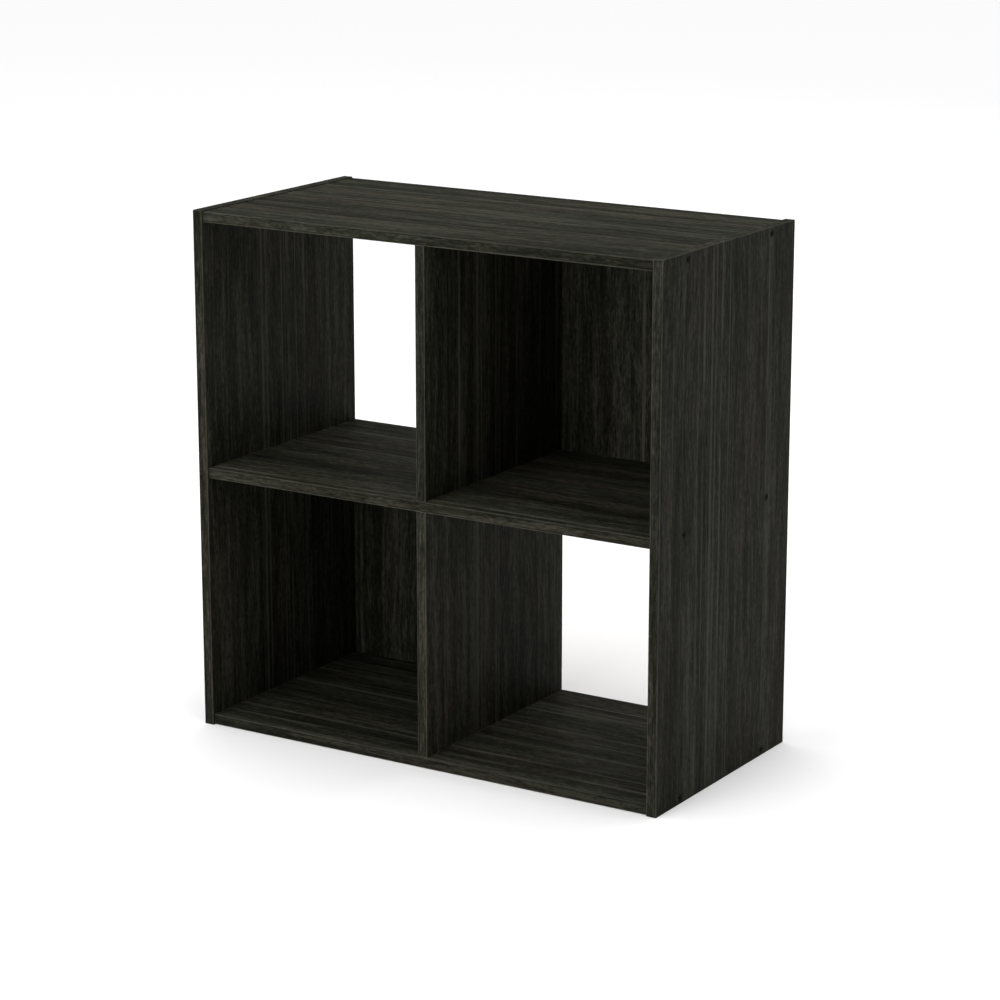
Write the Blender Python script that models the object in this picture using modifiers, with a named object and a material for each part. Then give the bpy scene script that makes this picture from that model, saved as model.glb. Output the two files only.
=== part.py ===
"""Cube storage unit: a two-by-two open organiser of thin laminated boards.

Two full-height sides carry a top, a bottom and a continuous middle shelf, each
joint held by two confirmat screws and one dowel. One divider stands above the
shelf and another below it, on dowels. Two cubes on a diagonal are closed by
thin hardboard backs, let into rebates and nailed; the other two are open right
through.

Frame: origin on the floor under the middle of the unit, +X to the right as
seen from the front, +Y towards the back, +Z up. Metres.
"""

import math

import bmesh
import bpy
from mathutils import Matrix, Vector

# ---------------------------------------------------------------- dimensions
# overall
WIDTH = 0.602
DEPTH = 0.2972
HEIGHT = 0.6045

# boards
BOARD = 0.012  # thickness of every laminated board
TOP_DROP = 0.0015  # sides stand this far above the top panel
BOTTOM_LIFT = 0.0005  # bottom panel clears the floor by this much
FRONT_RECESS = 0.003  # top, bottom and shelf, behind the front of the sides
DIVIDER_RECESS = 0.004  # dividers, behind the front of the sides
ARRIS = 0.0005  # rounding of the banded edges
ARRIS_STEPS = 2
GAP = 0.0003  # clearance between neighbouring pieces

# hardboard backs, in rebates at the rear of two cubes
BACK_THICKNESS = 0.0028
REBATE_DEPTH = 0.0042  # along Y
REBATE_LIP = 0.0055  # into the thickness of the board

# confirmat screws, through the sides into the ends of the panels
SCREW_FROM_FRONT = 0.053
SCREW_FROM_REAR = 0.055
SCREW_LENGTH = 0.050
SCREW_HEAD_R = 0.0035
SCREW_RIM = 0.0007  # straight rim of the head
SCREW_CONE = 0.0018  # countersunk part below the rim
SCREW_NECK_R = 0.0025
SCREW_NECK_END = 0.0165  # distance from the top of the head
SCREW_THREAD_R = 0.0021
SCREW_TIP_R = 0.0009
SCREW_SUNK = 0.0002  # head below the face of the side
SOCKET_FLATS = 0.0030  # hexagon socket, across flats
SOCKET_DEPTH = 0.0020

# dowels
DOWEL_R = 0.003
DOWEL_LENGTH = 0.030
DOWEL_CHAMFER = 0.0008
DOWEL_IN_FACE = 0.0085  # depth of a dowel hole in the face of a board
DIVIDER_DOWEL_Y = 0.085  # before and behind the middle

# nails
NAIL_R = 0.0006
NAIL_LENGTH = 0.015
NAIL_HEAD_R = 0.0016
NAIL_HEAD_THICKNESS = 0.0005
NAIL_FROM_CORNER = 0.060

SCREW_STEPS = 16
DOWEL_STEPS = 12
NAIL_STEPS = 8

# ------------------------------------------------------------ derived planes
X_OUT = WIDTH / 2
X_IN = X_OUT - BOARD  # inner faces of the sides
Y_FRONT = -DEPTH / 2
Y_REAR = DEPTH / 2
TOP_HI = HEIGHT - TOP_DROP
TOP_LO = TOP_HI - BOARD
BOTTOM_LO = BOTTOM_LIFT
BOTTOM_HI = BOTTOM_LO + BOARD
CUBE_HEIGHT = (TOP_LO - BOTTOM_HI - BOARD) / 2
SHELF_LO = BOTTOM_HI + CUBE_HEIGHT
SHELF_HI = SHELF_LO + BOARD
HALF = BOARD / 2
Y_REBATE = Y_REAR - REBATE_DEPTH
Y_SCREWS = {"front": Y_FRONT + SCREW_FROM_FRONT, "rear": Y_REAR - SCREW_FROM_REAR}
Z_JOINTS = {
    "top": (TOP_LO + TOP_HI) / 2,
    "middle": (SHELF_LO + SHELF_HI) / 2,
    "bottom": (BOTTOM_LO + BOTTOM_HI) / 2,
}

# --------------------------------------------------------------------- scene
for old in list(bpy.data.objects):
    bpy.data.objects.remove(old, do_unlink=True)
for old in list(bpy.data.collections):
    bpy.data.collections.remove(old)

unit = bpy.data.collections.new("cube_storage_unit")
cutters = bpy.data.collections.new("cutters")
bpy.context.scene.collection.children.link(unit)
bpy.context.scene.collection.children.link(cutters)

FINISHES = {
    # name: (base colour, roughness, metallic)
    "laminate": ((0.034, 0.034, 0.030, 1.0), 0.55, 0.0),
    "hardboard": ((0.030, 0.030, 0.027, 1.0), 0.62, 0.0),
    "screw": ((0.020, 0.020, 0.020, 1.0), 0.42, 0.6),
    "dowel": ((0.62, 0.45, 0.27, 1.0), 0.70, 0.0),
    "nail": ((0.55, 0.55, 0.56, 1.0), 0.35, 1.0),
}


def give_material(obj, finish):
    """A Principled material of the object's own."""
    colour, roughness, metallic = FINISHES[finish]
    material = bpy.data.materials.new(f"{obj.name}_{finish}")
    material.use_nodes = True
    shader = material.node_tree.nodes["Principled BSDF"]
    shader.inputs["Base Color"].default_value = colour
    shader.inputs["Roughness"].default_value = roughness
    shader.inputs["Metallic"].default_value = metallic
    material.diffuse_color = colour
    if obj.data.materials:
        # A mesh that copies share takes its material on the object's slot.
        obj.material_slots[0].link = "OBJECT"
        obj.material_slots[0].material = material
    else:
        obj.data.materials.append(material)


def new_object(name, mesh, collection):
    obj = bpy.data.objects.new(name, mesh)
    collection.objects.link(obj)
    return obj


def as_cutter(obj):
    obj.hide_render = True
    obj.display_type = "WIRE"


# -------------------------------------------------------------------- boards
def add_box(bm, low, high):
    """A box into bm, between two corners."""
    low, high = Vector(low), Vector(high)
    size = high - low
    made = bmesh.ops.create_cube(
        bm, size=1.0, matrix=Matrix.Translation((low + high) / 2) @ Matrix.Diagonal((*size, 1.0))
    )
    return made["verts"]


def board(name, low, high, rounded, finish="laminate"):
    """A board between two corners. rounded holds the axes whose edges are
    eased: "X" eases the four edges that run along X, and so on."""
    bm = bmesh.new()
    add_box(bm, low, high)
    weights = bm.edges.layers.float.new("bevel_weight_edge")
    for edge in bm.edges:
        run = edge.verts[1].co - edge.verts[0].co
        along = "XYZ"[max(range(3), key=lambda i: abs(run[i]))]
        edge[weights] = 1.0 if along in rounded else 0.0
    mesh = bpy.data.meshes.new(name)
    bm.to_mesh(mesh)
    bm.free()
    obj = new_object(name, mesh, unit)
    if rounded:
        bevel = obj.modifiers.new("eased_edges", "BEVEL")
        bevel.limit_method = "WEIGHT"
        bevel.width = ARRIS
        bevel.segments = ARRIS_STEPS
        bevel.harden_normals = False
    give_material(obj, finish)
    return obj


# Turning a cutter or a turned piece so that its own +Z lies along an axis.
ALONG = {
    "+X": Matrix.Rotation(math.radians(90), 4, "Y"),
    "-X": Matrix.Rotation(math.radians(-90), 4, "Y"),
    "+Y": Matrix.Rotation(math.radians(-90), 4, "X"),
    "-Y": Matrix.Rotation(math.radians(90), 4, "X"),
    "+Z": Matrix.Identity(4),
}


def add_hole(bm, start, axis, length, radius, steps):
    """A round hole into bm, from start along axis."""
    place = Matrix.Translation(start) @ ALONG[axis] @ Matrix.Translation((0, 0, length / 2))
    bmesh.ops.create_cone(
        bm,
        cap_ends=True,
        segments=steps,
        radius1=radius,
        radius2=radius,
        depth=length,
        matrix=place,
    )


def add_copy(bm, mesh, start, axis):
    """A copy of a turned mesh into bm, from start along axis."""
    before = set(bm.verts)
    bm.from_mesh(mesh)
    bmesh.ops.transform(
        bm,
        matrix=Matrix.Translation(start) @ ALONG[axis],
        verts=[vert for vert in bm.verts if vert not in before],
    )


def cut(obj, label, fill):
    """Takes away from obj the shapes that fill(bm) adds."""
    bm = bmesh.new()
    fill(bm)
    mesh = bpy.data.meshes.new(f"{obj.name}_{label}")
    bm.to_mesh(mesh)
    bm.free()
    cutter = new_object(f"{obj.name}_{label}", mesh, cutters)
    as_cutter(cutter)
    boolean = obj.modifiers.new(label, "BOOLEAN")
    boolean.operation = "DIFFERENCE"
    boolean.solver = "EXACT"
    boolean.object = cutter


OVER = 0.002  # how far a cutter runs past the face that it opens

boards = {}
for side, sign in (("left", -1), ("right", 1)):
    inner, outer = sign * X_IN, sign * X_OUT
    boards[side] = board(
        f"{side}_side_panel",
        (min(inner, outer), Y_FRONT, 0.0),
        (max(inner, outer), Y_REAR, HEIGHT),
        "XYZ",
    )

X_END = X_IN - GAP
for name, low, high in (
    ("top_panel", TOP_LO, TOP_HI),
    ("middle_shelf", SHELF_LO, SHELF_HI),
    ("bottom_panel", BOTTOM_LO, BOTTOM_HI),
):
    boards[name] = board(
        name, (-X_END, Y_FRONT + FRONT_RECESS, low), (X_END, Y_REAR, high), "X"
    )
for name, low, high in (
    ("upper_divider", SHELF_HI + GAP, TOP_LO - GAP),
    ("lower_divider", BOTTOM_HI + GAP, SHELF_LO - GAP),
):
    boards[name] = board(
        name, (-HALF, Y_FRONT + DIVIDER_RECESS, low), (HALF, Y_REAR, high), "Z"
    )


# --------------------------------------------------------------------- backs
class Back:
    """A closed cube's hardboard back and the rebates that hold it."""

    def __init__(self, name, x_low, x_high, z_low, z_high):
        self.name = name
        # the outline of the rebates
        self.low = Vector((x_low - REBATE_LIP, 0, z_low - REBATE_LIP))
        self.high = Vector((x_high + REBATE_LIP, 0, z_high + REBATE_LIP))
        # the lines that the nails stand on
        inset = REBATE_LIP / 2
        x_a, x_b = x_low - inset, x_high + inset
        z_a, z_b = z_low - inset, z_high + inset
        x_1, x_2 = x_low + NAIL_FROM_CORNER, x_high - NAIL_FROM_CORNER
        z_1, z_2 = z_low + NAIL_FROM_CORNER, z_high - NAIL_FROM_CORNER
        self.nails = {
            "left": [(x_a, z_1), (x_a, z_2)],
            "right": [(x_b, z_1), (x_b, z_2)],
            "bottom": [(x_1, z_a), (x_2, z_a)],
            "top": [(x_1, z_b), (x_2, z_b)],
        }

    def rebate(self, bm, x_low, x_high, z_low, z_high):
        """The part of the rebate that lies in one board, run past its faces."""
        add_box(
            bm,
            (max(x_low, self.low.x), Y_REBATE, max(z_low, self.low.z)),
            (min(x_high, self.high.x), Y_REAR + OVER, min(z_high, self.high.z)),
        )

    def panel(self):
        y_low = Y_REBATE + GAP
        return board(
            self.name,
            (self.low.x + GAP, y_low, self.low.z + GAP),
            (self.high.x - GAP, y_low + BACK_THICKNESS, self.high.z - GAP),
            "",
            "hardboard",
        )


BACKS = {
    "upper_right": Back("upper_right_back_panel", HALF, X_IN, SHELF_HI, TOP_LO),
    "lower_left": Back("lower_left_back_panel", -X_IN, -HALF, BOTTOM_HI, SHELF_LO),
}
upper, lower = BACKS["upper_right"], BACKS["lower_left"]
for back in BACKS.values():
    boards[back.name] = back.panel()

cut(boards["right"], "rebate", lambda bm: upper.rebate(bm, X_IN - OVER, 9, -9, 9))
cut(boards["left"], "rebate", lambda bm: lower.rebate(bm, -9, -X_IN + OVER, -9, 9))
cut(
    boards["top_panel"],
    "rebate",
    lambda bm: upper.rebate(bm, -9, 9, TOP_LO - OVER, 9),
)
cut(
    boards["bottom_panel"],
    "rebate",
    lambda bm: lower.rebate(bm, -9, 9, -9, BOTTOM_HI + OVER),
)
cut(
    boards["upper_divider"],
    "rebate",
    lambda bm: add_box(
        bm,
        (upper.low.x, Y_REBATE, SHELF_HI - OVER),
        (HALF + OVER, Y_REAR + OVER, TOP_LO + OVER),
    ),
)
cut(
    boards["lower_divider"],
    "rebate",
    lambda bm: add_box(
        bm,
        (-HALF - OVER, Y_REBATE, BOTTOM_HI - OVER),
        (lower.high.x, Y_REAR + OVER, SHELF_LO + OVER),
    ),
)
cut(
    boards["middle_shelf"],
    "upper_rebate",
    lambda bm: upper.rebate(bm, -9, 9, -9, SHELF_HI + OVER),
)
cut(
    boards["middle_shelf"],
    "lower_rebate",
    lambda bm: lower.rebate(bm, -9, 9, SHELF_LO - OVER, 9),
)


# -------------------------------------------------------------------- joints
def turned(name, profile, steps, cutter=None):
    """A mesh turned about Z from a profile of (radius, height), outer side
    from the top down."""
    mesh = bpy.data.meshes.new(f"{name}_profile")
    bm = bmesh.new()
    points = [bm.verts.new((r, 0, z)) for r, z in profile]
    for a, b in zip(points, points[1:]):
        bm.edges.new((a, b))
    bm.to_mesh(mesh)
    bm.free()
    lathe = new_object(f"{name}_lathe", mesh, cutters)
    screw = lathe.modifiers.new("turn", "SCREW")
    screw.axis = "Z"
    screw.steps = steps
    screw.render_steps = steps
    screw.use_merge_vertices = True
    screw.merge_threshold = 0.00001
    screw.use_smooth_shade = True
    if cutter is not None:
        boolean = lathe.modifiers.new("socket", "BOOLEAN")
        boolean.operation = "DIFFERENCE"
        boolean.solver = "EXACT"
        boolean.object = cutter
    bpy.context.view_layer.update()
    evaluated = lathe.evaluated_get(bpy.context.evaluated_depsgraph_get())
    result = bpy.data.meshes.new_from_object(evaluated)
    result.name = name
    result.materials.clear()
    result.materials.append(None)
    result.shade_smooth()
    result.set_sharp_from_angle(angle=math.radians(35))
    bpy.data.objects.remove(lathe, do_unlink=True)
    return result


# A screw's hole in a side, from the outer face at the origin inwards up +Z: a
# mouth for the head's rim, a countersink, and a clear hole for the neck.
screw_hole = turned(
    "screw_hole",
    [
        (0.0, BOARD + OVER),
        (SCREW_NECK_R + GAP, BOARD + OVER),
        (SCREW_NECK_R + GAP, SCREW_SUNK + SCREW_RIM + SCREW_CONE),
        (SCREW_HEAD_R + GAP, SCREW_SUNK + SCREW_RIM),
        (SCREW_HEAD_R + GAP, -OVER),
        (0.0, -OVER),
    ],
    SCREW_STEPS,
)


def side_holes(bm, sign):
    """Screw holes right through a side, and dowel holes in its inner face."""
    inwards, outwards = ("-X", "+X") if sign > 0 else ("+X", "-X")
    for z in Z_JOINTS.values():
        for y in Y_SCREWS.values():
            add_copy(bm, screw_hole, (sign * X_OUT, y, z), inwards)
        add_hole(
            bm,
            (sign * (X_IN - OVER), 0, z),
            outwards,
            OVER + DOWEL_IN_FACE,
            DOWEL_R + GAP,
            DOWEL_STEPS,
        )


for side, sign in (("left", -1), ("right", 1)):
    cut(boards[side], "holes", lambda bm, s=sign: side_holes(bm, s))


def end_holes(bm, z):
    """Pilot holes for the screws and a dowel hole, in both ends of a panel."""
    for sign, inwards in ((-1, "+X"), (1, "-X")):
        start = sign * (X_END + OVER)
        reach = SCREW_SUNK + SCREW_LENGTH - BOARD + GAP
        for y in Y_SCREWS.values():
            add_hole(
                bm,
                (start, y, z),
                inwards,
                reach + OVER,
                SCREW_NECK_R + GAP,
                SCREW_STEPS,
            )
        add_hole(
            bm,
            (start, 0, z),
            inwards,
            OVER + DOWEL_LENGTH - DOWEL_IN_FACE + 2 * GAP,
            DOWEL_R + GAP,
            DOWEL_STEPS,
        )


def panel_holes(bm, z, low, high):
    """The holes in both ends, and the dividers' dowel holes at mid-length."""
    end_holes(bm, z)
    for y in (-DIVIDER_DOWEL_Y, DIVIDER_DOWEL_Y):
        add_hole(bm, (0, y, low), "+Z", high - low, DOWEL_R + GAP, DOWEL_STEPS)


cut(
    boards["top_panel"],
    "holes",
    lambda bm: panel_holes(bm, Z_JOINTS["top"], TOP_LO - OVER, TOP_LO + DOWEL_IN_FACE),
)
cut(
    boards["middle_shelf"],
    "holes",
    lambda bm: panel_holes(bm, Z_JOINTS["middle"], SHELF_LO - OVER, SHELF_HI + OVER),
)
cut(
    boards["bottom_panel"],
    "holes",
    lambda bm: panel_holes(
        bm, Z_JOINTS["bottom"], BOTTOM_HI - DOWEL_IN_FACE, BOTTOM_HI + OVER
    ),
)

# Where each dowel of a divider starts and ends.
THROUGH = (DOWEL_LENGTH - BOARD) / 2  # a shelf dowel's reach into each divider
DIVIDER_DOWELS = {
    "upper_divider_top": TOP_LO + DOWEL_IN_FACE - GAP - DOWEL_LENGTH,
    "shelf_divider": SHELF_LO - THROUGH,
    "lower_divider_bottom": BOTTOM_HI - DOWEL_IN_FACE + GAP,
}


def divider_holes(bm, spans):
    for low, high in spans:
        for y in (-DIVIDER_DOWEL_Y, DIVIDER_DOWEL_Y):
            add_hole(bm, (0, y, low), "+Z", high - low, DOWEL_R + GAP, DOWEL_STEPS)


cut(
    boards["upper_divider"],
    "holes",
    lambda bm: divider_holes(
        bm,
        [
            (SHELF_HI - OVER, SHELF_HI + THROUGH + GAP),
            (DIVIDER_DOWELS["upper_divider_top"] - GAP, TOP_LO + OVER),
        ],
    ),
)
cut(
    boards["lower_divider"],
    "holes",
    lambda bm: divider_holes(
        bm,
        [
            (
                BOTTOM_HI - OVER,
                DIVIDER_DOWELS["lower_divider_bottom"] + DOWEL_LENGTH + GAP,
            ),
            (SHELF_LO - THROUGH - GAP, SHELF_LO + OVER),
        ],
    ),
)

# Nail holes, in the boards behind each back and in the back itself.
Y_NAIL_SEAT = Y_REBATE + GAP + BACK_THICKNESS + GAP  # underside of the heads
Y_NAIL_TIP = Y_NAIL_SEAT - NAIL_LENGTH


def nail_holes(bm, spots):
    for x, z in spots:
        add_hole(
            bm,
            (x, Y_NAIL_TIP - GAP, z),
            "+Y",
            Y_REAR + OVER - Y_NAIL_TIP,
            NAIL_R + GAP,
            NAIL_STEPS,
        )


for key, edges in (
    ("upper_right", {"left": "upper_divider", "right": "right", "bottom": "middle_shelf", "top": "top_panel"}),
    ("lower_left", {"left": "left", "right": "lower_divider", "bottom": "bottom_panel", "top": "middle_shelf"}),
):
    back = BACKS[key]
    for edge, holder in edges.items():
        cut(
            boards[holder],
            f"nail_holes_{edge}",
            lambda bm, spots=back.nails[edge]: nail_holes(bm, spots),
        )
    cut(
        boards[back.name],
        "nail_holes",
        lambda bm, b=back: nail_holes(bm, [s for spots in b.nails.values() for s in spots]),
    )


# ----------------------------------------------------------------- fastenings
def copies(mesh, finish, places):
    """One object for each name and place, all with this mesh."""
    for name, (point, axis) in places.items():
        obj = new_object(name, mesh, unit)
        obj.matrix_world = Matrix.Translation(point) @ ALONG[axis]
        give_material(obj, finish)


# Screw: the top of the head is at the origin, and the screw runs up +Z.
socket_mesh = bpy.data.meshes.new("socket")
socket_bm = bmesh.new()
bmesh.ops.create_cone(
    socket_bm,
    cap_ends=True,
    segments=6,
    radius1=SOCKET_FLATS / math.sqrt(3),
    radius2=SOCKET_FLATS / math.sqrt(3),
    depth=2 * SOCKET_DEPTH,
)
socket_bm.to_mesh(socket_mesh)
socket_bm.free()
socket = new_object("socket_cutter", socket_mesh, cutters)
as_cutter(socket)

screw_mesh = turned(
    "confirmat_screw",
    [
        (0.0, SCREW_LENGTH),
        (SCREW_TIP_R, SCREW_LENGTH),
        (SCREW_THREAD_R, SCREW_LENGTH - 0.003),
        (SCREW_THREAD_R, SCREW_NECK_END + 0.0008),
        (SCREW_NECK_R, SCREW_NECK_END),
        (SCREW_NECK_R, SCREW_RIM + SCREW_CONE),
        (SCREW_HEAD_R, SCREW_RIM),
        (SCREW_HEAD_R, 0.0002),
        (SCREW_HEAD_R - 0.0002, 0.0),
        (0.0, 0.0),
    ],
    SCREW_STEPS,
    socket,
)
places = {}
for side, sign in (("left", -1), ("right", 1)):
    for level, z in Z_JOINTS.items():
        for end, y in Y_SCREWS.items():
            places[f"screw_{side}_{level}_{end}"] = (
                (sign * (X_OUT - SCREW_SUNK), y, z),
                "-X" if sign > 0 else "+X",
            )
copies(screw_mesh, "screw", places)

# Dowel: runs up +Z from the origin.
dowel_mesh = turned(
    "dowel",
    [
        (0.0, DOWEL_LENGTH),
        (DOWEL_R - DOWEL_CHAMFER, DOWEL_LENGTH),
        (DOWEL_R, DOWEL_LENGTH - DOWEL_CHAMFER),
        (DOWEL_R, DOWEL_CHAMFER),
        (DOWEL_R - DOWEL_CHAMFER, 0.0),
        (0.0, 0.0),
    ],
    DOWEL_STEPS,
)
places = {}
for side, sign in (("left", -1), ("right", 1)):
    for level, z in Z_JOINTS.items():
        places[f"dowel_{side}_{level}"] = (
            (sign * (X_IN + DOWEL_IN_FACE - GAP), 0, z),
            "-X" if sign > 0 else "+X",
        )
for where, low in DIVIDER_DOWELS.items():
    for end, y in (("front", -DIVIDER_DOWEL_Y), ("rear", DIVIDER_DOWEL_Y)):
        places[f"dowel_{where}_{end}"] = ((0, y, low), "+Z")
copies(dowel_mesh, "dowel", places)

# Nail: the underside of the head is at the origin, and the point is up +Z.
nail_mesh = turned(
    "nail",
    [
        (0.0, NAIL_LENGTH),
        (NAIL_R, NAIL_LENGTH - 0.0018),
        (NAIL_R, 0.0),
        (NAIL_HEAD_R, 0.0),
        (NAIL_HEAD_R, -NAIL_HEAD_THICKNESS * 0.5),
        (NAIL_HEAD_R * 0.7, -NAIL_HEAD_THICKNESS),
        (0.0, -NAIL_HEAD_THICKNESS),
    ],
    NAIL_STEPS,
)
places = {}
for key, back in BACKS.items():
    for edge, spots in back.nails.items():
        for number, (x, z) in enumerate(spots, 1):
            places[f"nail_{key}_back_{edge}_{number}"] = ((x, Y_NAIL_SEAT, z), "-Y")
copies(nail_mesh, "nail", places)
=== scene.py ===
"""Looks of the cube storage unit: dark wood-grain laminate boards, foil-faced
hardboard backs, black socket screws and small bright nails, on a pale floor."""

import math

import bmesh
import bpy
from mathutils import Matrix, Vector


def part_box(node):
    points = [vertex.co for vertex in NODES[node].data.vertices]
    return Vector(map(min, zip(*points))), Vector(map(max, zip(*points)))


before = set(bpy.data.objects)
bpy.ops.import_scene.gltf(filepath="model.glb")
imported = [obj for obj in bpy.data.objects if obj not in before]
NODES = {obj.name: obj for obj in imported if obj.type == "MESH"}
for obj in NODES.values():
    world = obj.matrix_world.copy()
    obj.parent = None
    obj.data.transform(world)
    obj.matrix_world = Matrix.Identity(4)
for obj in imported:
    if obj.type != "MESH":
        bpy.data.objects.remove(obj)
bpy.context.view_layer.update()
X, Y, Z = 0, 1, 2


# ------------------------------------------------------------- node building
class Material:
    """A Principled material and short calls for the nodes that feed it."""

    def __init__(self, name):
        self.mat = bpy.data.materials.new(name)
        self.mat.use_nodes = True
        self.tree = self.mat.node_tree
        self.shader = self.tree.nodes["Principled BSDF"]
        self._coord = None

    def node(self, kind, **settings):
        made = self.tree.nodes.new(kind)
        for key, value in settings.items():
            setattr(made, key, value)
        return made

    def feed(self, socket, value):
        if isinstance(value, bpy.types.NodeSocket):
            self.tree.links.new(value, socket)
        else:
            socket.default_value = value

    def set(self, **values):
        """Values or links for the shader's own sockets."""
        for key, value in values.items():
            self.feed(self.shader.inputs[key.replace("_", " ")], value)

    def place(self):
        """The point in the row frame, in metres."""
        if self._coord is None:
            self._coord = self.node("ShaderNodeTexCoord").outputs["Object"]
        return self._coord

    def math(self, operation, a, b=0.0, c=0.0, clamp=False):
        made = self.node("ShaderNodeMath", operation=operation, use_clamp=clamp)
        for socket, value in zip(made.inputs, (a, b, c)):
            self.feed(socket, value)
        return made.outputs[0]

    def vector(self, operation, a, b):
        made = self.node("ShaderNodeVectorMath", operation=operation)
        self.feed(made.inputs[0], a)
        self.feed(made.inputs[1], b)
        return made.outputs[0]

    def parts(self, vector):
        made = self.node("ShaderNodeSeparateXYZ")
        self.feed(made.inputs[0], vector)
        return list(made.outputs)

    def combine(self, x, y, z):
        made = self.node("ShaderNodeCombineXYZ")
        for socket, value in zip(made.inputs, (x, y, z)):
            self.feed(socket, value)
        return made.outputs[0]

    def noise(self, vector, detail=2.0, roughness=0.5, distortion=0.0, scale=1.0):
        made = self.node("ShaderNodeTexNoise", noise_dimensions="3D")
        self.feed(made.inputs["Vector"], vector)
        made.inputs["Scale"].default_value = scale
        made.inputs["Detail"].default_value = detail
        made.inputs["Roughness"].default_value = roughness
        made.inputs["Distortion"].default_value = distortion
        return made.outputs["Fac"]

    def cells(self, vector, feature="F1", output="Distance", randomness=1.0):
        made = self.node("ShaderNodeTexVoronoi", feature=feature)
        self.feed(made.inputs["Vector"], vector)
        made.inputs["Scale"].default_value = 1.0
        made.inputs["Randomness"].default_value = randomness
        return made.outputs[output]

    def ease(self, value, low, high, to_low=0.0, to_high=1.0):
        """Smoothly from to_low at low to to_high at high."""
        made = self.node("ShaderNodeMapRange", interpolation_type="SMOOTHSTEP")
        if low > high:
            low, high, to_low, to_high = high, low, to_high, to_low
        for key, number in (
            ("From Min", low),
            ("From Max", high),
            ("To Min", to_low),
            ("To Max", to_high),
        ):
            made.inputs[key].default_value = number
        self.feed(made.inputs["Value"], value)
        return made.outputs["Result"]

    def mix(self, share, a, b, blend="MIX"):
        made = self.node("ShaderNodeMix", data_type="RGBA", blend_type=blend)
        made.clamp_factor = True
        self.feed(made.inputs[0], share)
        self.feed(made.inputs[6], (*a, 1.0) if isinstance(a, tuple) else a)
        self.feed(made.inputs[7], (*b, 1.0) if isinstance(b, tuple) else b)
        return made.outputs[2]

    def bump(self, height, distance, strength=1.0, normal=None):
        made = self.node("ShaderNodeBump")
        made.inputs["Strength"].default_value = strength
        made.inputs["Distance"].default_value = distance
        self.feed(made.inputs["Height"], height)
        if normal is not None:
            self.feed(made.inputs["Normal"], normal)
        return made.outputs["Normal"]


def put(obj, material):
    """Gives the whole object this material."""
    obj.data.materials.clear()
    obj.data.materials.append(material)


# ------------------------------------------------------------ wood-grain print
DARK = (0.0070, 0.0078, 0.0050)
MID = (0.0183, 0.0186, 0.0134)
LIGHT = (0.0432, 0.0422, 0.0324)
LINE = (0.0620, 0.0610, 0.0480)
WARM = (1.045, 0.985, 0.955)
COOL = (0.970, 1.015, 0.985)


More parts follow.
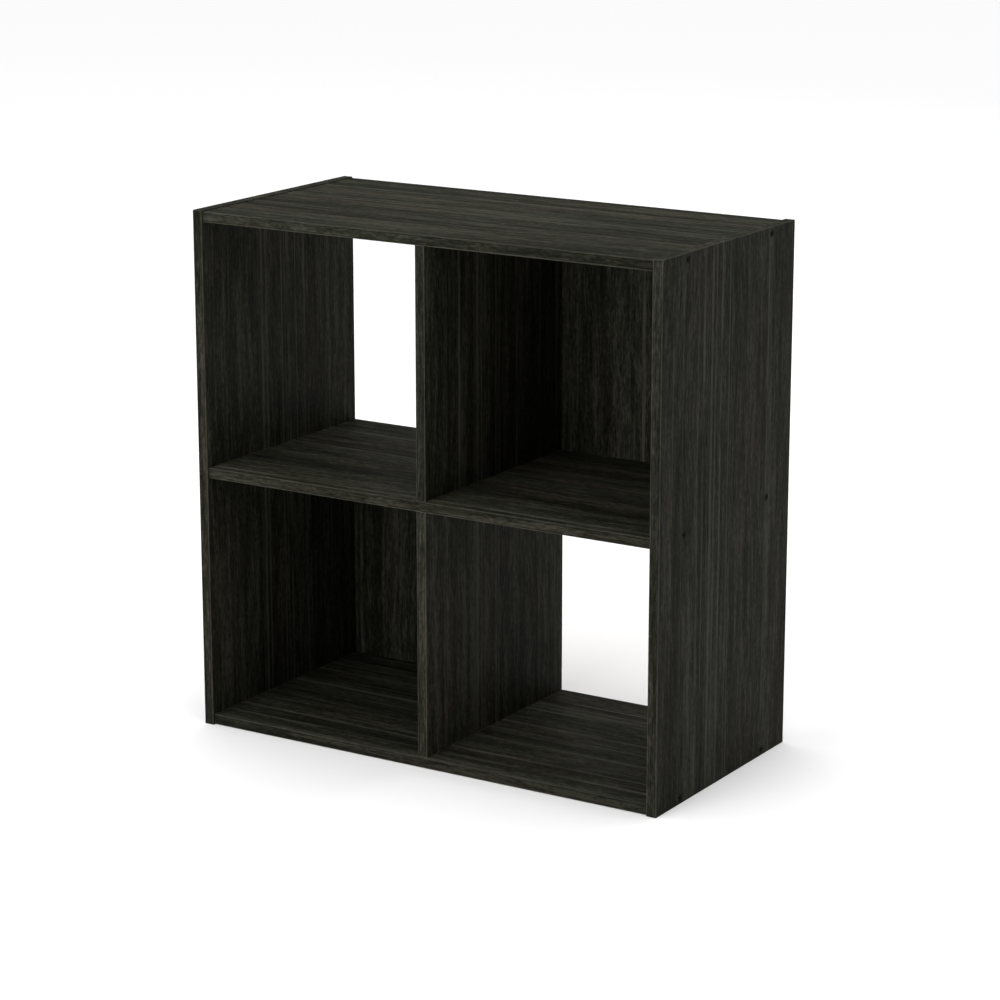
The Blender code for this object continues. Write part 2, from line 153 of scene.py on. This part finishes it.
def grain(m, axis, seed, painted_light_gain=1.0, streaks=()):
    """(colour, lines, fine, pores) of a wood-grain print whose fibres run along
    an axis. Lengths are in metres, and every layer is stretched along the grain.
    streaks holds (Y, half width, strength) of pale lines at set places."""
    point = m.vector("ADD", m.place(), seed)
    parts = m.parts(point)
    along = parts[axis]
    across = [parts[i] for i in range(3) if i != axis]

    def layer(run, width, detail=2.0, roughness=0.5, base=None, distortion=0.0):
        """Noise with features about run metres long and width metres across."""
        stretch = (1.0 / run, 1.0 / width, 1.0 / width)
        return m.noise(
            m.vector("MULTIPLY", base, stretch), detail, roughness, distortion
        )

    straight = m.combine(along, *across)
    # The fibres wander a little: slowly over the board, and finely.
    sway = m.math("SUBTRACT", layer(0.42, 0.11, 1.0, 0.5, straight), 0.5)
    ripple = m.math("SUBTRACT", layer(0.055, 0.020, 2.0, 0.5, straight), 0.5)
    shift = m.math(
        "ADD", m.math("MULTIPLY", sway, 0.020), m.math("MULTIPLY", ripple, 0.0016)
    )
    fibres = m.combine(along, *(m.math("ADD", a, shift) for a in across))

    broad = layer(0.70, 0.038, 2.0, 0.55, fibres)
    bands = layer(0.32, 0.0115, 3.0, 0.60, fibres)
    lines = layer(0.055, 0.0040, 3.0, 0.66, fibres)
    fine = layer(0.013, 0.0016, 2.0, 0.65, fibres)
    speckle = layer(0.0060, 0.0026, 2.0, 0.5, straight)
    # A few thin pale lines run the whole length, stronger in some stretches.
    still = m.combine(along, *(m.math("MULTIPLY_ADD", shift, 0.25, a) for a in across))
    ridge = layer(5.0, 0.0066, 0.0, 0.5, still)
    pale = m.math(
        "MULTIPLY",
        m.ease(ridge, 0.70, 0.79),
        m.ease(layer(0.11, 0.016, 3.0, 0.6, straight), 0.34, 0.62, 0.10, 1.0),
    )
    # Pores: short dark dashes, thicker in some bands than in others.
    dashes = layer(0.0095, 0.00070, 1.0, 0.5, fibres)
    pores = m.math(
        "MULTIPLY", m.ease(dashes, 0.58, 0.68), m.ease(bands, 0.62, 0.40)
    )

    tone = m.math("MULTIPLY", broad, 0.40)
    tone = m.math("MULTIPLY_ADD", bands, 0.62, tone)
    tone = m.math("MULTIPLY_ADD", lines, 0.66, tone)
    tone = m.math("MULTIPLY_ADD", fine, 0.62, tone)
    tone = m.math("MULTIPLY_ADD", speckle, 0.42, tone)
    # tone is near 1.36 on average
    colour = m.mix(m.ease(tone, 1.15, 1.39), DARK, MID)
    colour = m.mix(m.ease(tone, 1.34, 1.60), colour, LIGHT)
    if streaks:
        worn = layer(0.045, 0.012, 3.0, 0.65, straight)
        place = m.math("MULTIPLY_ADD", ripple, 0.0012, m.parts(m.place())[Y])
        for spot, half, strength in streaks:
            off = m.math("ABSOLUTE", m.math("SUBTRACT", place, spot))
            line = m.math(
                "MULTIPLY",
                m.ease(off, half, half * 0.25),
                m.ease(worn, 0.34, 0.58, 0.50 * strength, strength),
            )
            pale = m.math("MAXIMUM", pale, line)
    colour = m.mix(m.math("MULTIPLY", pale, 0.80), colour, LINE)
    colour = m.mix(m.math("MULTIPLY", pores, 0.50), colour, DARK)
    hue = layer(0.40, 0.040, 3.0, 0.55, fibres)
    tint = m.mix(m.ease(hue, 0.38, 0.62), COOL, WARM)
    colour = m.mix(1.0, colour, tint, "MULTIPLY")
    # Painted light and shade: the whole board's colour is scaled by its gain for how brightly its place in the
    # unit is lit.
    if painted_light_gain != 1.0:
        colour = m.mix(1.0, colour, (painted_light_gain, painted_light_gain, painted_light_gain), "MULTIPLY")
    return colour, lines, fine, pores


def chipboard(m):
    """(colour, height) of raw particle board."""
    point = m.place()
    chips = m.cells(m.vector("MULTIPLY", point, (520.0, 520.0, 900.0)), "F1", "Color")
    tone = m.parts(chips)[0]
    fine = m.noise(m.vector("MULTIPLY", point, (1500.0, 1500.0, 1500.0)), 3.0, 0.6)
    colour = m.mix(tone, (0.30, 0.19, 0.10), (0.62, 0.45, 0.27))
    colour = m.mix(m.ease(fine, 0.55, 0.75), colour, (0.16, 0.095, 0.05))
    return colour, m.math("ADD", tone, fine)


def inside(m, low, high):
    """1 inside a box in the row frame, 0 outside it. None leaves a side open."""
    parts = m.parts(m.place())
    share = None
    for axis in (X, Y, Z):
        for limit, operation in ((low[axis], "GREATER_THAN"), (high[axis], "LESS_THAN")):
            if limit is None:
                continue
            test = m.math(operation, parts[axis], limit)
            share = test if share is None else m.math("MULTIPLY", share, test)
    return share


def arris(m, low, high, runs):
    """The distance to the nearest edge that runs along one of the given axes,
    in metres. low and high are the board's corners."""
    parts = m.parts(m.place())
    gaps = []
    for axis in (X, Y, Z):
        middle, half = (low[axis] + high[axis]) / 2, (high[axis] - low[axis]) / 2
        off = m.math("ABSOLUTE", m.math("SUBTRACT", parts[axis], middle))
        gaps.append(m.math("SUBTRACT", half, off))
    found = None
    for axis in runs:
        a, b = (gaps[i] for i in (X, Y, Z) if i != axis)
        near = m.math("MAXIMUM", a, b)
        found = near if found is None else m.math("MINIMUM", found, near)
    return found


def laminate(name, axis, seed, runs, painted_light_gain=1.0, raw=(), streaks=(), screws=(), band_shade=1.0):
    """A laminated, edge-banded board. runs holds the axes of its eased edges, and raw the boxes inside which
    the bare particle board shows. screws holds the (Y, Z) of the screws driven through its face, and boards
    with screws get painted shade on their outer face. band is painted shade on its front edge banding against
    its faces."""
    m = Material(f"laminate_{name}")
    low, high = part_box(name)
    colour, lines, fine, pores = grain(m, axis, seed, painted_light_gain, streaks)

    # Painted shade: the front edge banding is darkened by a set factor.
    if band_shade != 1.0:
        front = m.ease(m.parts(m.place())[Y], low.y + 0.0006, low.y + 0.0001)
        colour = m.mix(front, colour, m.mix(1.0, colour, (band_shade, band_shade, band_shade), "MULTIPLY"))
    if screws:
        parts = m.parts(m.place())
        # Painted shade: the print on the outer face is darkened to take down the light it gets.
        outer = max(abs(low.x), abs(high.x))
        outer_face_shade = m.ease(m.math("ABSOLUTE", parts[X]), outer - 0.0006, outer - 0.0001)
        colour = m.mix(outer_face_shade, colour, m.mix(1.0, colour, (0.76, 0.76, 0.76), "MULTIPLY"))
        # The print is darker in a ring round each screw.
        rows = sorted({y for y, _ in screws}), sorted({z for _, z in screws})
        nearest = []
        for values, part in zip(rows, (parts[Y], parts[Z])):
            found = None
            for value in values:
                off = m.math("ABSOLUTE", m.math("SUBTRACT", part, value))
                found = off if found is None else m.math("MINIMUM", found, off)
            nearest.append(m.math("MULTIPLY", found, found))
        away = m.math("SQRT", m.math("ADD", *nearest))
        ring = m.math(
            "MULTIPLY",
            m.ease(m.math("MULTIPLY_ADD", lines, 0.0016, away), 0.0064, 0.0044),
            0.72,
        )
        colour = m.mix(ring, colour, (0.0046, 0.0050, 0.0034))

    # Handling has polished the arrises and thinned the print there; the lighter colour along them is also a
    # painted highlight of the light the rounded arris catches.
    near = arris(m, low, high, runs)
    worn_noise = m.noise(m.vector("MULTIPLY", m.place(), (90.0, 90.0, 90.0)), 3.0, 0.6)
    worn = m.math(
        "MULTIPLY",
        m.ease(near, 0.00145, 0.00040),
        m.ease(worn_noise, 0.30, 0.62, 0.55, 1.0),
    )
    colour = m.mix(m.math("MULTIPLY", worn, 0.42), colour, (0.068, 0.067, 0.055))
    # The edge banding's seam: a hairline just inside the arris.
    seam = m.math(
        "MULTIPLY", m.ease(near, 0.00145, 0.00170), m.ease(near, 0.00235, 0.00205)
    )
    colour = m.mix(m.math("MULTIPLY", seam, 0.55), colour, (0.006, 0.006, 0.005))

    height = m.math("MULTIPLY", lines, 0.5)
    height = m.math("MULTIPLY_ADD", fine, 0.35, height)
    height = m.math("MULTIPLY_ADD", pores, -0.8, height)
    height = m.math("MULTIPLY_ADD", seam, -1.2, height)

    # Satin print: the dark grain is a little duller, and the worn arris shines.
    rough = m.math("MULTIPLY_ADD", lines, -0.16, 0.58)
    rough = m.math("MULTIPLY_ADD", pores, 0.10, rough)
    rough = m.math("MULTIPLY_ADD", worn, -0.10, rough)

    for box_low, box_high in raw:
        share = inside(m, box_low, box_high)
        bare, bare_height = chipboard(m)
        colour = m.mix(share, colour, bare)
        rough = m.math("MULTIPLY_ADD", share, 0.30, rough, clamp=True)
        height = m.math("MULTIPLY_ADD", m.math("MULTIPLY", share, bare_height), 1.5, height)

    m.set(Base_Color=colour, Roughness=rough, Normal=m.bump(height, 0.00012, 0.8))
    m.shader.inputs["Specular IOR Level"].default_value = 0.018
    return m.mat


def foil_back(name, seed, painted_light_gain):
    """A hardboard back: a printed foil on the front, bare brown board behind."""
    m = Material(f"back_{name}")
    low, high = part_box(name)
    colour, lines, fine, pores = grain(m, Z, seed, painted_light_gain)
    y = m.parts(m.place())[Y]
    bare = m.ease(y, low.y + 0.00005, low.y + 0.00025)
    point = m.place()
    felt = m.noise(m.vector("MULTIPLY", point, (420.0, 900.0, 420.0)), 5.0, 0.68)
    clouds = m.noise(m.vector("MULTIPLY", point, (14.0, 14.0, 14.0)), 3.0, 0.55)
    flecks = m.noise(m.vector("MULTIPLY", point, (1100.0, 1100.0, 260.0)), 2.0, 0.5)
    brown = m.mix(m.ease(felt, 0.32, 0.68), (0.105, 0.052, 0.023), (0.235, 0.132, 0.062))
    brown = m.mix(m.math("MULTIPLY", m.ease(clouds, 0.35, 0.70), 0.30), brown, (0.27, 0.16, 0.08))
    brown = m.mix(m.math("MULTIPLY", m.ease(flecks, 0.64, 0.74), 0.55), brown, (0.050, 0.026, 0.013))
    colour = m.mix(bare, colour, brown)
    # The rough side carries the print of the screen it was pressed on.
    parts = m.parts(point)
    weave = m.math(
        "MULTIPLY",
        m.math("SINE", m.math("MULTIPLY", parts[X], 2 * math.pi / 0.0016)),
        m.math("SINE", m.math("MULTIPLY", parts[Z], 2 * math.pi / 0.0016)),
    )
    height = m.math("MULTIPLY_ADD", felt, 2.0, m.math("MULTIPLY", weave, 0.5))
    smooth = m.math("MULTIPLY_ADD", fine, 0.35, m.math("MULTIPLY", lines, 0.5))
    height = m.math(
        "ADD",
        m.math("MULTIPLY", height, bare),
        m.math("MULTIPLY", smooth, m.math("SUBTRACT", 1.0, bare)),
    )
    rough = m.math("MULTIPLY_ADD", bare, 0.22, m.math("MULTIPLY_ADD", lines, -0.14, 0.62))
    m.set(Base_Color=colour, Roughness=rough, Normal=m.bump(height, 0.00012, 0.8))
    m.shader.inputs["Specular IOR Level"].default_value = 0.018
    return m.mat


def black_screw():
    """Black zinc on a socket screw, rubbed paler in patches by the key."""
    m = Material("black_zinc_screw")
    point = m.place()
    speck = m.noise(m.vector("MULTIPLY", point, (1900.0, 1900.0, 1900.0)), 4.0, 0.6)
    cloud = m.noise(m.vector("MULTIPLY", point, (420.0, 420.0, 420.0)), 2.0, 0.5)
    colour = m.mix(m.ease(speck, 0.35, 0.70), (0.0040, 0.0040, 0.0042), (0.0115, 0.0112, 0.0108))
    colour = m.mix(m.math("MULTIPLY", m.ease(cloud, 0.55, 0.75), 0.3), colour, (0.022, 0.020, 0.018))
    rough = m.math("MULTIPLY_ADD", speck, 0.25, 0.42)
    m.set(Base_Color=colour, Roughness=rough, Normal=m.bump(speck, 0.00004, 0.6))
    m.shader.inputs["Metallic"].default_value = 0.0
    m.shader.inputs["Specular IOR Level"].default_value = 0.018
    return m.mat


def beech():
    """Plain beech, fibres along the dowel, with fine dark rays."""
    m = Material("beech_dowel")
    point = m.place()
    fibre = m.noise(m.vector("MULTIPLY", point, (900.0, 900.0, 900.0)), 3.0, 0.6)
    ring = m.noise(m.vector("MULTIPLY", point, (160.0, 160.0, 160.0)), 2.0, 0.5)
    colour = m.mix(m.ease(ring, 0.35, 0.65), (0.50, 0.33, 0.19), (0.68, 0.50, 0.32))
    colour = m.mix(m.math("MULTIPLY", m.ease(fibre, 0.58, 0.72), 0.5), colour, (0.30, 0.18, 0.10))
    m.set(Base_Color=colour, Roughness=m.math("MULTIPLY_ADD", fibre, 0.2, 0.60), Normal=m.bump(fibre, 0.00006))
    return m.mat


def bright_nail():
    """A plain steel nail, scuffed by the hammer."""
    m = Material("steel_nail")
    point = m.place()
    scuff = m.noise(m.vector("MULTIPLY", point, (2400.0, 2400.0, 900.0)), 4.0, 0.65)
    dull = m.noise(m.vector("MULTIPLY", point, (600.0, 600.0, 600.0)), 2.0, 0.5)
    colour = m.mix(m.ease(dull, 0.35, 0.70), (0.42, 0.42, 0.43), (0.60, 0.59, 0.57))
    m.set(Base_Color=colour, Roughness=m.math("MULTIPLY_ADD", scuff, 0.35, 0.22), Normal=m.bump(scuff, 0.00003))
    m.shader.inputs["Metallic"].default_value = 1.0
    return m.mat


# ------------------------------------------------------------------- boards
GAP = 0.0003
left_low, left_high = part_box("left_side_panel")
right_low, right_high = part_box("right_side_panel")
shelf_low, shelf_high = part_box("middle_shelf")
top_low, top_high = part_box("top_panel")
bottom_low, bottom_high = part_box("bottom_panel")
upper_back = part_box("upper_right_back_panel")
lower_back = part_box("lower_left_back_panel")
end = 0.00006


def rebate_of(back, x=(None, None), z=(None, None)):
    """The box in which a back's rebate shows bare board."""
    low, high = back
    edge = GAP + 0.00008
    return (
        (low.x - edge if x[0] is None else x[0], low.y - edge, low.z - edge if z[0] is None else z[0]),
        (high.x + edge if x[1] is None else x[1], None, high.z + edge if z[1] is None else z[1]),
    )


def ends_of(name):
    """The two cut ends of a panel that lies along X."""
    low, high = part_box(name)
    return [
        ((None, None, None), (low.x + end, None, None)),
        ((high.x - end, None, None), (None, None, None)),
    ]


def ends_up(name):
    low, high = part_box(name)
    return [
        ((None, None, None), (None, None, low.z + end)),
        ((None, None, high.z - end), (None, None, None)),
    ]


BOARDS = {
    # name: (grain axis, seed, eased edges, gain, bare boxes); gain scales the board's colour as painted light
    # and shade for how brightly its place in the unit is lit
    "left_side_panel": (Z, (3.17, 1.40, 0.30), (X, Y, Z), 1.00, [rebate_of(lower_back)]),
    "right_side_panel": (Z, (7.93, 5.21, 2.13), (X, Y, Z), 1.00, [rebate_of(upper_back)]),
    "top_panel": (X, (0.55, 2.75, 4.61), (X,), 1.00, [rebate_of(upper_back), *ends_of("top_panel")]),
    "bottom_panel": (X, (6.05, 9.15, 1.27), (X,), 1.03, [rebate_of(lower_back), *ends_of("bottom_panel")]),
    "middle_shelf": (X, (2.45, 7.35, 8.84), (X,), 1.16,
                     [rebate_of(upper_back), rebate_of(lower_back), *ends_of("middle_shelf")]),
    "upper_divider": (Z, (4.71, 3.92, 6.58), (Z,), 1.00, [rebate_of(upper_back), *ends_up("upper_divider")]),
    "lower_divider": (Z, (9.36, 6.07, 5.39), (Z,), 0.96, [rebate_of(lower_back), *ends_up("lower_divider")]),
}
# Painted shade: the front banding of the low boards is darkened against the board's faces, most on the lowest,
# where the low front lamp lights it most.
BAND_SHADES = {"middle_shelf": 0.77, "bottom_panel": 0.66}
# Pale lines of the print, by the grain's direction: (Y, half width, strength).
STREAKS = {
    Z: (
        (-0.0385, 0.0036, 1.00),
        (-0.0300, 0.0022, 0.80),
        (-0.0450, 0.0014, 0.45),
        (0.0004, 0.0022, 0.80),
        (0.0062, 0.0016, 0.55),
        (-0.1015, 0.0015, 0.40),
        (0.0950, 0.0024, 0.40),
    ),
    X: (
        (0.0165, 0.0042, 0.90),
        (0.0265, 0.0020, 0.45),
        (0.0905, 0.0050, 0.70),
        (0.0800, 0.0024, 0.40),
        (-0.0480, 0.0022, 0.35),
        (0.0520, 0.0020, 0.35),
    ),
}
SCREWS = [(y, z) for y in (-0.0956, 0.0936) for z in (0.597, 0.30175, 0.0065)]
for name, (axis, seed, runs, painted_light_gain, raw) in BOARDS.items():
    driven = SCREWS if name.endswith("side_panel") else ()
    band_shade = BAND_SHADES.get(name, 1.0)
    put(NODES[name], laminate(name, axis, seed, runs, painted_light_gain, raw, STREAKS[axis], driven, band_shade))
# The last number is the back's gain: painted light and shade for how brightly its cube is lit.
for name, seed, painted_light_gain in (
    ("upper_right_back_panel", (5.83, 0.77, 3.31), 1.03),
    ("lower_left_back_panel", (1.09, 8.26, 7.43), 0.83),
):
    put(NODES[name], foil_back(name, seed, painted_light_gain))

screw_black, dowel_beech, nail_steel = black_screw(), beech(), bright_nail()
for name, obj in NODES.items():
    if name.startswith("screw_"):
        put(obj, screw_black)
    elif name.startswith("dowel_"):
        put(obj, dowel_beech)
    elif name.startswith("nail_"):
        put(obj, nail_steel)


# -------------------------------------------------------------------- studio
def floor():
    mesh = bpy.data.meshes.new("floor")
    bm = bmesh.new()
    bmesh.ops.create_circle(bm, cap_ends=True, segments=96, radius=30.0)
    bm.to_mesh(mesh)
    bm.free()
    obj = bpy.data.objects.new("floor", mesh)
    bpy.context.scene.collection.objects.link(obj)
    m = Material("pale_floor")
    m.set(Base_Color=(0.94, 0.94, 0.94, 1.0))
    m.shader.inputs["Roughness"].default_value = 0.85
    m.shader.inputs["Specular IOR Level"].default_value = 0.1
    put(obj, m.mat)


def softbox(name, place, target, size, watts, colour=(1.0, 1.0, 1.0)):
    light = bpy.data.lights.new(name, "AREA")
    light.shape = "RECTANGLE"
    light.size, light.size_y = size
    light.energy = watts
    light.color = colour
    obj = bpy.data.objects.new(name, light)
    obj.location = place
    obj.rotation_euler = (Vector(target) - Vector(place)).to_track_quat("-Z", "Y").to_euler()
    bpy.context.scene.collection.objects.link(obj)
    return obj


floor()
world = bpy.data.worlds.new("studio")
world.use_nodes = True
tree = world.node_tree
background = tree.nodes["Background"]
background.inputs["Color"].default_value = (1.0, 1.0, 1.0, 1.0)
# A dome that is bright overhead and dim at the horizon.
facing = tree.nodes.new("ShaderNodeTexCoord")
split = tree.nodes.new("ShaderNodeSeparateXYZ")
tree.links.new(facing.outputs["Generated"], split.inputs[0])
height = tree.nodes.new("ShaderNodeMath")
height.operation, height.use_clamp = "MAXIMUM", True
tree.links.new(split.outputs[2], height.inputs[0])
height.inputs[1].default_value = 0.0
square = tree.nodes.new("ShaderNodeMath")
square.operation = "POWER"
tree.links.new(height.outputs[0], square.inputs[0])
square.inputs[1].default_value = 2.0
dome = tree.nodes.new("ShaderNodeMath")
dome.operation = "MULTIPLY_ADD"
tree.links.new(square.outputs[0], dome.inputs[0])
dome.inputs[1].default_value, dome.inputs[2].default_value = 1.95, 0.06
tree.links.new(dome.outputs[0], background.inputs["Strength"])
bpy.context.scene.world = world
softbox("overhead", (-0.3, -0.4, 3.2), (0.0, 0.0, 0.3), (3.2, 3.2), 22.0)
softbox("front", (-0.7, -3.6, 2.2), (0.0, 0.0, 0.25), (2.4, 1.8), 40.0)
softbox("low front", (-0.5, -4.8, 1.0), (0.0, 0.0, 0.30), (2.2, 1.2), 62.0)
softbox("behind", (1.0, 4.2, 1.9), (0.0, 0.0, 0.30), (3.0, 1.8), 38.0)

# -------------------------------------------------------------------- camera
camera = bpy.data.cameras.new("camera")
camera.sensor_width = 36.0
camera.lens = 113.03
camera.clip_start, camera.clip_end = 0.05, 120.0
viewer = bpy.data.objects.new("camera", camera)
viewer.location = (1.8371, -2.9182, 1.1702)
viewer.rotation_euler = Vector((-0.513399, 0.820753, -0.250572)).to_track_quat("-Z", "Y").to_euler()
bpy.context.scene.collection.objects.link(viewer)
bpy.context.scene.camera = viewer
bpy.context.scene.view_settings.view_transform = "Standard"
